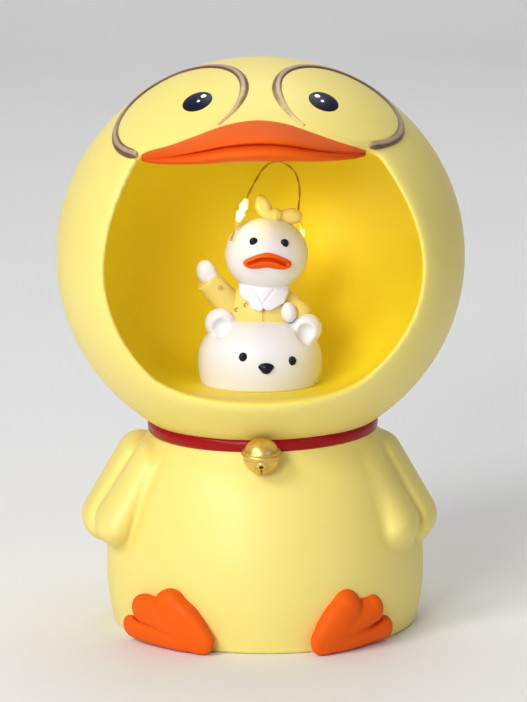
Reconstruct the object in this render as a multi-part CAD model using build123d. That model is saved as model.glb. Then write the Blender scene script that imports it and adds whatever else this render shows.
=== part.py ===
"""Duck-shaped night-light money bank, about 209 mm tall.

A hollow cast-resin duck.  Its round head is open at the front: a deep bowl under an orange bill
holds a small figurine and a two-lamp copper-wire light.  The lamp's battery box sits in a pocket
at the back of the head.  The body is hollow, with a coin slot in its back and a rubber stopper
in its base.

Frame: millimetres, +Z up, front of the duck towards -Y, origin on the table under the middle.
Every piece is written to parts/NAME.step.
"""
from build123d import *
import math
import os

# ---- driving dimensions -------------------------------------------------------------------
HEAD_R = 75.0          # head radius, seen from above
HEAD_H = 72.8          # head half height: the head is a slightly flattened ball
HEAD_Z = 136.0         # height of the head's centre
WALL = 5.0             # resin wall

OPEN_TILT = 14.0       # the face opening looks up by this angle
OPEN_R = 59.0          # radius of the face opening's rim
OPEN_D = 45.7          # distance of the rim's plane from the head's centre
BOWL_BACK = 36.0       # depth of the bowl behind the head's centre
FLOOR_Z = HEAD_Z - 44.5    # flat floor of the bowl
BRIM_Z = HEAD_Z + 43.0     # the bill closes the opening above this height
FACE_WALL = 8.0        # wall behind the bill and the eyes

JOINT_Z = 73.0         # head and body castings meet here, under the collar
NECK_R = 39.5          # groove that the collar lies in
NECK_BORE_R = 30.0     # way through the neck
COLLAR_R = 42.3
COLLAR_HALF = 2.1      # half the collar's height

BODY_PROFILE = [(53.5, 2.2), (57.6, 13.0), (58.3, 25.0), (56.6, 40.0), (51.8, 56.0), (44.0, 68.5)]
BASE_R = 51.0          # radius of the foot ring's outer edge
BASE_RING_IN = 42.0
BASE_RECESS = 3.0
STOPPER_R = 17.0       # hole in the base
STOPPER_GAP = 0.05     # running clearance of the stopper in its hole

SLOT_W, SLOT_H = 34.0, 5.2     # coin slot
SLOT_Z = 50.0

# battery box, in its pocket at the back of the head; it opens backwards
BOX_X0, BOX_X1 = -31.0, 9.5
BOX_HALF_Z = 12.0
BOX_Y0, BOX_Y1 = 54.0, 66.0
BOX_WALL = 1.2
POCKET_GAP = 1.5
POCKET_FLOOR_Y = 53.0
CELL_R, CELL_T = 10.0, 3.2
CELL_X = -14.5         # middle of the coin cells
SWITCH_X0 = -3.2       # inner wall between the cells and the switch
COVER_T = 1.4
COVER_X1 = SWITCH_X0 + BOX_WALL - 0.1
SCREW_X = -27.5
KNOB_TRAVEL = 2.5

WIRE_D = 1.1           # twisted pair of enamelled copper wire
DUCT_X, DUCT_Z = 13.0, HEAD_Z
DUCT_R, DUCT_BORE = 5.0, 1.6
SEAT_Y = 35.0          # flat spot on the bowl's wall that the grommet's flange lies on


def write(name, shape):
    """Writes one node: a compound of the shape's solids."""
    solids = shape.solids()
    out = solids[0] if len(solids) == 1 else Compound(children=list(solids))
    export_step(out, f"parts/{name}.step")
    return shape


def box(x0, x1, y0, y1, z0, z1):
    """A box given by its faces."""
    size = Box(x1 - x0, y1 - y0, z1 - z0)
    return Pos((x0 + x1) / 2, (y0 + y1) / 2, (z0 + z1) / 2) * size


def ellipsoid(at, radii, turn=(0, 0, 0)):
    """An ellipsoid with its half axes along X, Y and Z, turned about its centre."""
    return Pos(*at) * Rot(*turn) * scale(Sphere(1), by=radii)


def spindle(tail, tip, radius, over=0.0):
    """A long ellipsoid of revolution from tail to tip, reaching `over` past both."""
    a, b = Vector(*tail), Vector(*tip)
    along = b - a
    half = along.length / 2 + over
    placed = Plane(origin=(a + b) * 0.5, z_dir=along)
    return placed * scale(Sphere(1), by=(radius, radius, half))


def turned(points_r_z):
    """A solid of revolution about Z from a closed (radius, height) polygon."""
    outline = Polyline(*[(r, 0, z) for r, z in points_r_z], close=True)
    return revolve(make_face(outline), Axis.Z)


def egg(radius, height):
    """The head's ball shape, round about Z, with its centre at the head's centre."""
    return Pos(0, 0, HEAD_Z) * scale(Sphere(1), by=(radius, radius, height))


def head_outer(grow=0.0):
    return egg(HEAD_R + grow, HEAD_H + grow)


def bowl(grow=0.0):
    """The ball that hollows the head out: it passes through the opening's rim."""
    centre = (OPEN_D**2 + OPEN_R**2 - BOWL_BACK**2) / (2 * (OPEN_D + BOWL_BACK))
    radius = centre + BOWL_BACK
    tilt = math.radians(OPEN_TILT)
    at = (0, -centre * math.cos(tilt), HEAD_Z + centre * math.sin(tilt))
    return Pos(*at) * Sphere(radius + grow)


def cavity():
    """Everything that is open under the bill and in front of the bowl's wall."""
    ball = bowl()
    low = ball & box(-90, 90, -120, 90, FLOOR_Z, BRIM_Z)
    high = ball & egg(HEAD_R - FACE_WALL, HEAD_H - FACE_WALL) & box(-90, 90, -120, 90, BRIM_Z, 300)
    return low + high


def body_outer():
    """The body's outside, from the table to the neck joint."""
    side = Spline(*[(r, 0, z) for r, z in BODY_PROFILE], tangents=[(0.55, 0, 1), (-0.75, 0, 1)])
    foot = Line((BASE_R, 0, 0), side @ 0)
    base = Line((0, 0, 0), (BASE_R, 0, 0))
    shoulder = Line(side @ 1, (NECK_R, 0, JOINT_Z - COLLAR_HALF - 0.1))
    neck = Line(shoulder @ 1, (NECK_R, 0, JOINT_Z))
    top = Line(neck @ 1, (0, 0, JOINT_Z))
    axis = Line((0, 0, JOINT_Z), (0, 0, 0))
    return revolve(make_face([base, foot, side, shoulder, neck, top, axis]), Axis.Z)


def body_hollow():
    """The coin chamber: the body's outline moved in by the wall, and the bore of the neck."""
    inner = [(r - WALL, z) for r, z in BODY_PROFILE[1:]]
    inner[-1] = (BODY_PROFILE[-1][0] - WALL - 4, BODY_PROFILE[-1][1] - 2.5)
    side = Spline(*[(r, 0, z) for r, z in inner])
    floor_z = BASE_RECESS + WALL
    start = side @ 0
    chamfer = Line((start.X - 3.5, 0, floor_z), start)
    floor = Line((0, 0, floor_z), chamfer @ 0)
    shoulder = Line(side @ 1, (NECK_BORE_R, 0, JOINT_Z - 3))
    neck = Line(shoulder @ 1, (NECK_BORE_R, 0, JOINT_Z + 1))
    top = Line(neck @ 1, (0, 0, JOINT_Z + 1))
    axis = Line((0, 0, JOINT_Z + 1), (0, 0, floor_z))
    return revolve(make_face([floor, chamfer, side, shoulder, neck, top, axis]), Axis.Z)


# ---- castings -----------------------------------------------------------------------------
def make_body_casting(outer):
    recess = Pos(0, 0, BASE_RECESS / 2) * Cylinder(BASE_RING_IN, BASE_RECESS)
    hole = Pos(0, 0, 5) * Cylinder(STOPPER_R, 20)
    slot = box(-SLOT_W / 2, SLOT_W / 2, 30, 80, SLOT_Z - SLOT_H / 2, SLOT_Z + SLOT_H / 2)
    return outer - body_hollow() - recess - hole - slot


def make_head_casting():
    head = head_outer() & box(-90, 90, -90, 90, JOINT_Z, 300)
    groove_low = JOINT_Z - 1
    groove_high = JOINT_Z + COLLAR_HALF + 0.1
    groove = Pos(0, 0, (groove_low + groove_high) / 2) * (
        Cylinder(60, groove_high - groove_low) - Cylinder(NECK_R, groove_high - groove_low)
    )
    # the hollow between the head's outer wall and the bowl's wall, open to the neck
    under_floor = FLOOR_Z - WALL
    hollow = egg(HEAD_R - WALL, HEAD_H - WALL) & box(-90, 90, -90, 90, JOINT_Z + 3, 300)
    hollow -= bowl(WALL) & box(-90, 90, -120, 90, under_floor, 300)
    hollow -= box(-90, 90, -90, 5, under_floor, 300)
    wall = 4.0
    hollow -= box(
        BOX_X0 - POCKET_GAP - wall, DUCT_X + 4.5 + wall, POCKET_FLOOR_Y - wall, 90,
        HEAD_Z - BOX_HALF_Z - POCKET_GAP - wall, HEAD_Z + BOX_HALF_Z + POCKET_GAP + wall,
    )
    duct_length = POCKET_FLOOR_Y - BOWL_BACK + 6
    duct_middle = (POCKET_FLOOR_Y + BOWL_BACK) / 2
    duct = Pos(DUCT_X, duct_middle, DUCT_Z) * Rot(90, 0, 0)
    hollow -= duct * Cylinder(DUCT_R, duct_length)
    neck_bore = Pos(0, 0, JOINT_Z) * Cylinder(NECK_BORE_R, 8)
    pocket = box(
        BOX_X0 - POCKET_GAP, DUCT_X + 4.5, POCKET_FLOOR_Y, 90,
        HEAD_Z - BOX_HALF_Z - POCKET_GAP, HEAD_Z + BOX_HALF_Z + POCKET_GAP,
    )
    for cut in (groove, cavity(), hollow, neck_bore, pocket):
        head = head - cut
    head = head - duct * Cylinder(DUCT_BORE, duct_length + 6)
    seat = Pos(DUCT_X, SEAT_Y - 4.0, DUCT_Z) * Rot(90, 0, 0) * Cylinder(3.4, 8)
    return head - seat


# ---- beak, eyes, wings, feet, collar and bell -----------------------------------------------
# one row per section, from the middle outwards: x, front y, middle z, half depth, half height
LOWER_LIP = [(0, -73.5, 47.2, 13.0, 4.1), (19, -68.2, 45.6, 12.0, 3.3), (33, -57.5, 44.0, 9.0, 2.5),
             (41.5, -47.0, 43.2, 4.0, 1.4)]
UPPER_LIP = [(0, -72.0, 53.6, 15.0, 3.9), (19, -66.5, 49.8, 13.5, 3.2), (31, -57.5, 46.6, 9.0, 2.0),
             (40, -47.8, 44.6, 4.0, 1.0)]
UPPER_PITCH = 9.0      # the upper lip rises towards the forehead
BILL_ROLL = -1.2       # the bill hangs a little lower on the duck's right


def lip(rows, pitch):
    """One lip of the bill: oval sections lofted from tip to tip."""
    sections = []
    for x, front, z, depth, height in [(-r[0], *r[1:]) for r in rows[:0:-1]] + rows:
        plane = Plane(origin=(x, front + depth, HEAD_Z + z), x_dir=(0, -1, 0), z_dir=(1, 0, 0))
        sections.append(plane.rotated((0, 0, pitch)) * Ellipse(depth, height))
    return Pos(0, 0, HEAD_Z) * Rot(0, BILL_ROLL, 0) * Pos(0, 0, -HEAD_Z) * loft(sections)


def make_bill(head_ball):
    """Lower and upper lip, both glued to the head above the opening."""
    lower = lip(LOWER_LIP, 0)
    upper = lip(UPPER_LIP, UPPER_PITCH)
    upper = largest(upper - head_ball)
    return largest(upper - lower), largest(lower - head_ball)


def largest(shape):
    """Drops the slivers that a cut can leave, and keeps the biggest solid."""
    return max(shape.solids(), key=lambda s: s.volume)


def on_head(azimuth, elevation, lift=0.0):
    """A point of the head's surface and its outward normal.

    Azimuth turns from the front towards +X; elevation is the parametric latitude.
    """
    a, e = math.radians(azimuth), math.radians(elevation)
    point = Vector(
        HEAD_R * math.cos(e) * math.sin(a), -HEAD_R * math.cos(e) * math.cos(a), HEAD_H * math.sin(e)
    )
    normal = Vector(point.X / HEAD_R**2, point.Y / HEAD_R**2, point.Z / HEAD_H**2).normalized()
    return point + Vector(0, 0, HEAD_Z) + normal * lift, normal


EYE_AZ, EYE_EL = 49.2, 56.9        # the direction from the head's centre that each eye faces
EYE_IN = 1.6           # the oval lies this much nearer to the middle of the face
RIM_OUT = (26.9, 24.8)             # half width and half height of the raised oval rim
RIM_W = 2.6
RIM_H, PATCH_H = 1.2, 0.6          # how far rim and patch stand proud of the head
PUPIL_AZ, PUPIL_EL = 32.5, 56.8
PUPIL_R, PUPIL_H = 5.5, 1.3
DOTS = [(30.4, 58.3, 1.2), (31.0, 56.0, 0.9)]    # azimuth, elevation and radius of the highlights


def badge(side, azimuth, elevation, outline, low, high):
    """A flat outline pressed onto the head: what lies between two offsets of its surface."""
    point, _ = on_head(side * azimuth, elevation)
    centre = Vector(0, 0, HEAD_Z)
    facing = point - centre
    plane = Plane(origin=centre, x_dir=Vector(0, 0, 1).cross(facing), z_dir=facing)
    return (extrude(plane * outline, amount=100) & high) - low


def make_eye(side, skins, bills, opening):
    """Raised rim, eye patch, pupil and two highlights of one eye."""
    inside = Pos(-side * EYE_IN, 0) * Ellipse(RIM_OUT[0] - RIM_W, RIM_OUT[1] - RIM_W)
    ring = Pos(-side * EYE_IN, 0) * Ellipse(*RIM_OUT) - inside
    rim = badge(side, EYE_AZ, EYE_EL, ring, skins[0], skins[RIM_H])
    patch = badge(side, EYE_AZ, EYE_EL, inside, skins[0], skins[PATCH_H])
    for cut in (*bills, opening):
        rim = rim - cut
        patch = patch - cut
    pupil = badge(side, PUPIL_AZ, PUPIL_EL, Circle(PUPIL_R), skins[PATCH_H], skins[PUPIL_H])
    dots = []
    for azimuth, elevation, radius in DOTS:
        point, normal = on_head(side * azimuth, elevation, PUPIL_H)
        dots.append(extrude(Plane(origin=point, z_dir=normal) * Circle(radius), amount=0.3))
    return largest(rim), largest(patch), largest(pupil), dots


# each wing has two lobes: shoulder and tip (x, y, z, radius), and how much wider than thick it is
WING_FRONT = ((43.5, -9.0, 63.0, 7.8), (52.3, -13.0, 42.0, 9.3))
WING_BACK = ((46.2, 3.0, 62.0, 7.4), (57.6, 4.0, 41.5, 8.7))
WING_SPREAD = 1.95


def make_wing(side, body):
    """Two feather lobes side by side, glued to the side of the body."""
    wing = None
    for top, tip in (WING_FRONT, WING_BACK):
        for t in (0.0, 0.35, 0.7, 1.0):
            x, y, z, r = (a + (b - a) * t for a, b in zip(top, tip))
            lobe = ellipsoid((side * x, y, z), (r, r * WING_SPREAD, r * 1.25 if t < 1 else r))
            wing = lobe if wing is None else wing + lobe
    wing = wing & box(-90, 90, -90, 90, 0, JOINT_Z - COLLAR_HALF - 0.5)
    return largest(wing - body)


HEEL = (21.5, -55.6, 4.6)
TOES = [(34.0, -49.8, 18.0, 4.7), (43.0, -43.4, 14.8, 4.5), (48.2, -38.8, 5.4, 3.8)]
WEBS = [(38.0, -46.8, 15.2, 3.6), (45.4, -41.2, 9.2, 3.2)]


def make_foot(body):
    """The webbed foot on the -X side: three toes that meet at the heel, standing on the table."""
    foot = None
    heel = Vector(-HEEL[0], HEEL[1], HEEL[2])
    for x, y, z, r in TOES + WEBS:
        tip = Vector(-x, y, z)
        cone = Plane(origin=heel, z_dir=tip - heel) * Pos(0, 0, (tip - heel).length / 2)
        toe = cone * Cylinder(r, (tip - heel).length) + Pos(*tip) * Sphere(r)
        foot = toe if foot is None else foot + toe
    foot += Pos(*heel) * Sphere(4.9)
    return largest((foot - body) & box(-90, 90, -90, 90, 0, 90))


def make_collar():
    ring = Cylinder(COLLAR_R, 2 * COLLAR_HALF) - Cylinder(NECK_R, 2 * COLLAR_HALF)
    outer_edges = [e for e in ring.edges() if e.geom_type == GeomType.CIRCLE and e.radius > NECK_R + 1]
    return Pos(0, 0, JOINT_Z) * fillet(outer_edges, 1.3)


BELL_AT, BELL_R = (0, -49.3, 71.0), 7.2


def make_bell(body, collar, head):
    """A moulded bell: a ball with a seam, a round hole and a slit below it."""
    ball = Sphere(BELL_R) + Torus(BELL_R, 0.5)
    hole = Rot(118, 0, 0) * Pos(0, 0, BELL_R) * Cylinder(0.9, 3.0)
    slit = Rot(145, 0, 0) * Pos(0, 0, BELL_R) * Box(0.8, 4.0, 3.0)
    bell = Pos(*BELL_AT) * (ball - hole - slit)
    return largest(bell - body - collar - head)


# ---- figurine -----------------------------------------------------------------------------
FIG_X, FIG_Y = -0.2, -16.5
BEAR_R = (22.6, 19.0, 24.7)        # half width, half depth and height of the bear's dome
BEAR_WAIST = 8.0                   # height of the dome's widest line
CHICK_AT = (2.2, -14.0, HEAD_Z + 2.7)
CHICK_R = (15.1, 14.2, 13.6)


def front_of(centre, radii, dx, dz):
    """The y of an ellipsoid's front at an offset from its centre."""
    return centre[1] - radii[1] * math.sqrt(1 - (dx / radii[0]) ** 2 - (dz / radii[2]) ** 2)


def make_bear(torso):
    """The figurine's white base: a bear's head, with ears, eyes and a nose."""
    z0 = FLOOR_Z
    centre = (FIG_X, FIG_Y, z0 + BEAR_WAIST)
    radii = (BEAR_R[0], BEAR_R[1], BEAR_R[2] - BEAR_WAIST)
    dome = ellipsoid(centre, radii) & box(-40, 40, -60, 30, z0, z0 + 60)
    ears = []
    for x, y, z, turn in ((-14.9, -16.5, 21.4, 8), (16.8, -17.5, 19.9, -12)):
        ear = ellipsoid((x, y, z0 + z), (5.9, 3.8, 6.0), (0, turn, 0))
        dish = ellipsoid((x + 0.5, y - 4.2, z0 + z), (3.7, 2.6, 3.8))
        ears.append(largest(ear - dish - dome - torso))
    eyes = []
    for x, z in ((-6.3, 13.0), (11.3, 11.3)):
        at = (x, front_of(centre, radii, x - FIG_X, z - BEAR_WAIST), z0 + z)
        eyes.append(largest(ellipsoid(at, (1.6, 1.0, 1.6)) - dome))
    at = (2.0, front_of(centre, radii, 2.2, 1.2), z0 + 9.2)
    nose = largest(ellipsoid(at, (2.6, 1.5, 1.9)) - dome)
    return dome, ears, eyes, nose


def make_torso():
    """The jacket, before the bear's dome and the head are cut from it."""
    low = FLOOR_Z + 15.0
    torso = ellipsoid((0.8, -14.5, HEAD_Z - 20.0), (13.2, 9.5, 14.5))
    return torso & box(-40, 40, -60, 30, low, HEAD_Z - 2)


def make_chick(torso, dome, ears):
    """The small figure behind the bear: torso, collar, head, bill, eyes, bow, arms and hands."""
    head = ellipsoid(CHICK_AT, CHICK_R)
    torso = largest(torso - dome - head)
    shirt = ellipsoid((1.2, -15.2, HEAD_Z - 11.6), (9.6, 9.2, 4.6))
    shirt = largest(shirt - head - torso)
    bill_at = (CHICK_AT[0] + 0.3, CHICK_AT[1] - 13.2, CHICK_AT[2] - 0.5)
    bill = largest(ellipsoid(bill_at, (8.8, 3.8, 2.9)) - head)
    eyes = []
    for dx, dz in ((-4.7, 6.5), (6.4, 5.8)):
        at = (CHICK_AT[0] + dx, front_of(CHICK_AT, CHICK_R, dx, dz), CHICK_AT[2] + dz)
        eyes.append(largest(ellipsoid(at, (1.55, 0.9, 1.55)) - head))
    z = HEAD_Z + 17.2
    knot = ellipsoid((5.8, -14.5, z), (2.3, 2.3, 2.2)) - head
    lobe_left = spindle((4.0, -14.5, z), (-0.6, -14.5, z + 5.6), 2.6, 1.2) - head - knot
    lobe_right = spindle((7.5, -14.5, z + 0.1), (13.6, -14.5, z - 0.1), 2.8, 1.2) - head - knot
    bow = [largest(s) for s in (knot, lobe_left, lobe_right)]
    raised = spindle((-9.5, -14.5, HEAD_Z - 18.5), (-18.9, -16.8, HEAD_Z - 6.0), 4.9, 1.8)
    raised = largest(raised - torso - head - dome - ears[0] - shirt)
    hand_up = ellipsoid((-19.6, -17.0, HEAD_Z - 3.2), (4.0, 3.6, 4.4), (0, -12, 0))
    hand_up = largest(hand_up - raised)
    low_arm = spindle((9.5, -14.5, HEAD_Z - 14.0), (14.6, -17.0, HEAD_Z - 18.0), 4.2, 1.5)
    low_arm = largest(low_arm - torso - dome - ears[1] - head - shirt)
    hand_low = ellipsoid((10.6, -23.4, HEAD_Z - 17.3), (2.8, 3.0, 3.9))
    for neighbour in (torso, dome, low_arm, ears[1], shirt, head):
        hand_low = hand_low - neighbour
    return {
        "chick_torso": [torso], "chick_shirt_collar": [shirt], "chick_head": [largest(head)],
        "chick_bill": [bill], "chick_eyes": eyes, "chick_bow": bow, "chick_sleeve_raised": [raised],
        "chick_hand_raised": [hand_up], "chick_sleeve_lowered": [low_arm],
        "chick_hand_lowered": [largest(hand_low)],
    }


# ---- lamp: battery box, lead and wire -------------------------------------------------------
def make_battery_box():
    """Case, cover, screw, cells, contacts, switch and the pad that holds the case."""
    z0, z1 = HEAD_Z - BOX_HALF_Z, HEAD_Z + BOX_HALF_Z
    case = box(BOX_X0, BOX_X1, BOX_Y0, BOX_Y1, z0, z1)
    case = fillet(case.edges().filter_by(Axis.Y), 2.0)
    bay_y = BOX_Y0 + BOX_WALL
    bay = box(CELL_X - 10.6, SWITCH_X0, bay_y, BOX_Y1 + 1, z0 + BOX_WALL, z1 - BOX_WALL)
    switch_bay = box(SWITCH_X0 + BOX_WALL, BOX_X1 - BOX_WALL, bay_y, BOX_Y1 - BOX_WALL,
                     z0 + BOX_WALL, z1 - BOX_WALL)
    ledge = box(BOX_X0 + BOX_WALL, COVER_X1 + 0.1, BOX_Y1 - COVER_T, BOX_Y1 + 1,
                z0 + BOX_WALL, z1 - BOX_WALL)
    boss_hole = Pos(SCREW_X, BOX_Y1 - COVER_T - 4, HEAD_Z) * Rot(90, 0, 0) * Cylinder(1.05, 8)
    slot = box(2.4, 2.4 + 3.0 + KNOB_TRAVEL + 0.4, BOX_Y1 - 4, BOX_Y1 + 1, HEAD_Z - 1.6, HEAD_Z + 1.6)
    outlet = Pos(BOX_X1, 60, HEAD_Z) * Rot(0, 90, 0) * Cylinder(WIRE_D / 2 + 0.15, 4)
    case = case - bay - switch_bay - ledge - boss_hole - slot - outlet
    cover = box(BOX_X0 + BOX_WALL + 0.1, COVER_X1, BOX_Y1 - COVER_T, BOX_Y1,
                z0 + BOX_WALL + 0.1, z1 - BOX_WALL - 0.1)
    screw_at = Pos(SCREW_X, BOX_Y1, HEAD_Z) * Rot(-90, 0, 0)
    cover -= screw_at * Cylinder(1.9, 1.6) + screw_at * Cylinder(1.1, 6)
    for i in range(3):
        z = HEAD_Z - 3 + 3 * i
        cover += box(-9.5, -4.5, BOX_Y1 - 0.1, BOX_Y1 + 0.5, z - 0.5, z + 0.5)
    cross = Box(2.4, 0.5, 0.9) + Box(0.5, 2.4, 0.9)
    screw = screw_at * (
        Pos(0, 0, -0.4) * Cylinder(1.8, 0.8) + Pos(0, 0, -3.8) * Cylinder(0.95, 6.4) - Pos(0, 0, -0.3) * cross
    )
    cells = [
        Pos(CELL_X, bay_y + 0.9 + CELL_T * (i + 0.5) + 0.05 * i, HEAD_Z)
        * Rot(90, 0, 0) * fillet(Cylinder(CELL_R, CELL_T).edges().filter_by(GeomType.CIRCLE), 0.4)
        for i in range(2)
    ]
    negative = box(CELL_X - 3, SWITCH_X0 - 0.2, bay_y, bay_y + 0.3, HEAD_Z - 2.5, HEAD_Z + 2.5)
    negative += box(CELL_X - 3, CELL_X + 3, bay_y + 0.3, bay_y + 0.85, HEAD_Z - 1.5, HEAD_Z + 1.5)
    strip_y = bay_y + 0.9 + 2 * CELL_T + 0.1
    positive = box(CELL_X - 4, SWITCH_X0 - 0.2, strip_y, strip_y + 0.3, HEAD_Z - 2.5, HEAD_Z + 2.5)
    slider = box(2.7, 5.5, BOX_Y1 - BOX_WALL, BOX_Y1 + 1.3, HEAD_Z - 1.4, HEAD_Z + 1.4)
    slider += box(0.6, 5.6, BOX_Y1 - 3.4, BOX_Y1 - BOX_WALL - 0.1, HEAD_Z - 3, HEAD_Z + 3)
    slider += box(2.7, 5.5, BOX_Y1 - BOX_WALL - 0.2, BOX_Y1 - BOX_WALL, HEAD_Z - 1.4, HEAD_Z + 1.4)
    base = box(-1.5, 8.0, bay_y, bay_y + 4.0, HEAD_Z - 4.5, HEAD_Z + 4.5)
    pad = box(BOX_X0 + 4, BOX_X1 - 4, POCKET_FLOOR_Y, BOX_Y0, z0 + 4, z1 - 4)
    return {
        "battery_case": [case], "battery_cover": [cover], "cover_screw": [screw],
        "coin_cells": cells, "contact_negative": [negative], "contact_positive": [positive],
        "switch_slider": [slider], "switch_base": [base], "adhesive_pad": [pad],
    }


# The free wire's route, from the mouth of the duct up, over and down to its tip.
GROMMET_Y = SEAT_Y - 1.8
WIRE_ROUTE = [
    (13.0, GROMMET_Y, HEAD_Z), (13.3, 27.0, HEAD_Z + 1.0), (15.8, 20.0, HEAD_Z + 5.5),
    (13.6, 11.0, HEAD_Z + 13.0), (14.9, 6.5, HEAD_Z + 24.0), (12.0, 2.5, HEAD_Z + 32.5),
    (3.5, -5.0, HEAD_Z + 36.5), (-3.4, -17.0, HEAD_Z + 28.0), (-8.3, -21.3, HEAD_Z + 15.5),
    (-10.7, -22.5, HEAD_Z + 8.9),
]
LEAD_ROUTE = [(BOX_X1 - 2.0, 60.0, HEAD_Z), (13.0, 60.0, HEAD_Z), (13.0, GROMMET_Y + 0.15, HEAD_Z)]
LAMPS = [1, 7]         # the runs of the route that carry a lamp, by their first point
LAMP_R, LAMP_HALF = 1.9, 4.0
LAMP_ALONG = 0.58      # where on its run a lamp sits


def corner_radii(route, share=0.45):
    """The largest radius that each inner corner of a route has room for."""
    radii = []
    for before, here, after in zip(route, route[1:], route[2:]):
        a, b = Vector(*here) - Vector(*before), Vector(*after) - Vector(*here)
        turn = math.radians(a.get_angle(b))
        radii.append(share * min(a.length, b.length) / math.tan(turn / 2))
    return radii


def tube(route, diameter, radii):
    """A round tube along straight runs joined by tangent arcs."""
    path = FilletPolyline(*route, radius=radii)
    start = Plane(origin=path @ 0, z_dir=path % 0)
    made = sweep(start * Circle(diameter / 2), path=path)
    print("tube", round(made.volume / (math.pi * diameter**2 / 4 * path.length), 4),
          "length", round(path.length, 1), "radii", [round(r, 1) for r in radii])
    return made


def make_wire():
    """The lead, the grommet, the free wire and its two lamps."""
    lead = tube(LEAD_ROUTE, WIRE_D, [3.4])
    grommet = Pos(DUCT_X, SEAT_Y, DUCT_Z) * Rot(90, 0, 0) * (
        Pos(0, 0, -2.5) * Cylinder(DUCT_BORE, 5.0) + Pos(0, 0, 0.7) * Cylinder(2.9, 1.4)
        - Cylinder(WIRE_D / 2, 16)
    )
    wire = tube(WIRE_ROUTE, WIRE_D, corner_radii(WIRE_ROUTE))
    lamps = []
    for i in LAMPS:
        here, after = Vector(*WIRE_ROUTE[i]), Vector(*WIRE_ROUTE[i + 1])
        along = Plane(origin=here + (after - here) * LAMP_ALONG, z_dir=after - here)
        drop = along * scale(Sphere(1), by=(LAMP_R, LAMP_R, LAMP_HALF))
        lamps.append(largest(drop - wire))
    return lead, grommet, wire, lamps


# ---- stopper --------------------------------------------------------------------------------
def make_stopper():
    """A rubber plug: a hollow cup in the hole, with a flange and a grip bar below."""
    radius = STOPPER_R - STOPPER_GAP
    top = BASE_RECESS + WALL + 3.0
    profile = [
        (0, BASE_RECESS), (0, 5.2), (radius - 3.0, 5.2), (radius - 3.0, top), (radius - 0.8, top),
        (radius, top - 1.5), (radius, BASE_RECESS), (STOPPER_R + 3.5, BASE_RECESS),
        (STOPPER_R + 3.5, 0.9), (STOPPER_R - 5.0, 0.9), (STOPPER_R - 5.0, BASE_RECESS),
    ]
    cup = turned(profile)
    grip = box(-STOPPER_R + 4.5, STOPPER_R - 4.5, -1.6, 1.6, 0.9, BASE_RECESS + 0.5)
    return cup + grip


def main():
    os.makedirs("parts", exist_ok=True)
    skins = {grow: head_outer(grow) for grow in (0, PATCH_H, RIM_H, PUPIL_H)}
    head_ball = skins[0]
    body = body_outer()
    opening = cavity()
    bills = make_bill(head_ball)
    collar = make_collar()
    nodes = {
        "head_casting": [make_head_casting()],
        "body_casting": [make_body_casting(body)],
        "upper_bill": [bills[0]],
        "lower_bill": [bills[1]],
        "collar_band": [collar],
        "bell": [make_bell(body, collar, head_ball)],
        "base_stopper": [make_stopper()],
        "eye_highlights": [],
    }
    for side, word in ((-1, "left"), (1, "right")):
        rim, patch, pupil, dots = make_eye(side, skins, bills, opening)
        nodes[f"eye_rim_{word}"] = [rim]
        nodes[f"eye_patch_{word}"] = [patch]
        nodes[f"pupil_{word}"] = [pupil]
        nodes["eye_highlights"] += dots
        nodes[f"wing_{word}"] = [make_wing(side, body)]
    foot = make_foot(body)
    nodes["foot_left"], nodes["foot_right"] = [foot], [mirror(foot, Plane.YZ)]
    torso = make_torso()
    dome, ears, bear_eyes, bear_nose = make_bear(torso)
    nodes["bear_base"] = [dome]
    nodes["bear_ear_left"], nodes["bear_ear_right"] = [ears[0]], [ears[1]]
    nodes["bear_eyes"], nodes["bear_nose"] = bear_eyes, [bear_nose]
    nodes.update(make_chick(torso, dome, ears))
    nodes.update(make_battery_box())
    lead, grommet, wire, lamps = make_wire()
    nodes["lamp_lead"], nodes["wire_grommet"], nodes["lamp_wire"] = [lead], [grommet], [wire]
    nodes["lamp_bead_inner"], nodes["lamp_bead_outer"] = [lamps[0]], [lamps[1]]
    for name, shapes in nodes.items():
        write(name, Compound(children=[s for shape in shapes for s in shape.solids()]))
        print(name, len(shapes))


main()
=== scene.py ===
"""Visual model of the duck-shaped night-light money bank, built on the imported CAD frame.

Soft shapes are written as signed distance fields in millimetres, polygonised and pulled onto the
exact surface. Positions are those of the CAD model.
"""

import math
import bpy
import numpy as np
import openvdb as vdb
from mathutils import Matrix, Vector


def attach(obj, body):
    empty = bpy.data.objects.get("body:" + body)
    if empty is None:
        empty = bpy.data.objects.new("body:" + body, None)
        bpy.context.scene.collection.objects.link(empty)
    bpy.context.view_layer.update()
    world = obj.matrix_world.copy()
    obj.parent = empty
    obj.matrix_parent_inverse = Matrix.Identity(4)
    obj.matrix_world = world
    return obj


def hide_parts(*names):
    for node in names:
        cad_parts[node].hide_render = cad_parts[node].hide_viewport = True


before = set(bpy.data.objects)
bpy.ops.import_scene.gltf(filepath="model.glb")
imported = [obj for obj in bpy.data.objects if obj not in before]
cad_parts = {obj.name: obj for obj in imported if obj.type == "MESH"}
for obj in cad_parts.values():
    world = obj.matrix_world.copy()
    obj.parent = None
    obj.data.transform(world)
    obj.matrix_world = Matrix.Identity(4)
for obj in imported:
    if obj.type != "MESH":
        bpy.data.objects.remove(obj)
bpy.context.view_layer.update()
MM = 0.001

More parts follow.
